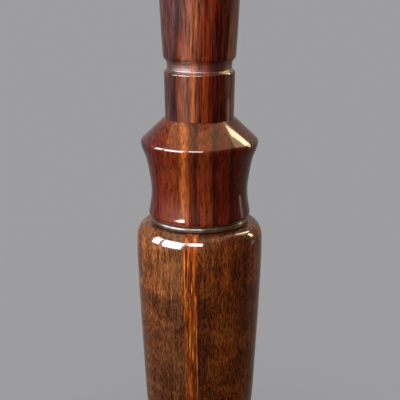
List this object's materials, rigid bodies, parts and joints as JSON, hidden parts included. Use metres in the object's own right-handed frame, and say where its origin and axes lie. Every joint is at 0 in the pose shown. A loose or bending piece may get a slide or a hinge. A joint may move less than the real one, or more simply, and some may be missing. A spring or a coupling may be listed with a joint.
{
  "type": "duck call",
  "caption": "Wooden duck call: laminated barrel with mouthpiece, dark bead ring, flared collar and bell, and a single-reed tone board that pulls out of the barrel.",
  "frame": {"origin": "centre of the mouthpiece rim, on the plane that the call stands on", "axes": "+Z along the bore from the mouthpiece to the bell; the reed faces -Y; +X is to the right of the reed"},
  "size_m": [0.0372, 0.0372, 0.168],
  "materials": {
    "walnut": "gloss lacquer",
    "strip_wood": "gloss lacquer",
    "dark_ring": "gloss lacquer",
    "rosewood_collar": "gloss lacquer",
    "rosewood_bell": "gloss lacquer",
    "black_board": "satin",
    "cork": "matte",
    "reed_film": "gloss",
    "rubber": "matte"
  },
  "bodies": {
    "barrel": {"barrel_left": "walnut", "barrel_right": "walnut", "barrel_strip_front": "strip_wood", "barrel_strip_rear": "strip_wood"},
    "seal_rings": {"o_ring_lower": "rubber", "o_ring_upper": "rubber"},
    "insert": {"joint_ring": "dark_ring", "collar": "rosewood_collar", "bell": "rosewood_bell", "tone_board": "black_board", "wedge_cork": "cork"},
    "reed": {"reed": "reed_film"}
  },
  "joints": [
    {"name": "insert_pull", "type": "slide", "parent": "barrel", "child": "seal_rings", "axis": [0, 0, 1], "range_m": [0, 0.065]},
    {"name": "insert_turn", "type": "hinge", "parent": "seal_rings", "child": "insert", "pos_m": [0, 0, 0], "axis": [0, 0, 1], "continuous": true},
    {"name": "reed_flex", "type": "hinge", "parent": "insert", "child": "reed", "pos_m": [0, -0.00118, 0.05], "axis": [1, 0, 0], "range_deg": [0, 3.4], "stiffness_Nm_per_rad": 0.04, "deforming": ["reed"]}
  ]
}
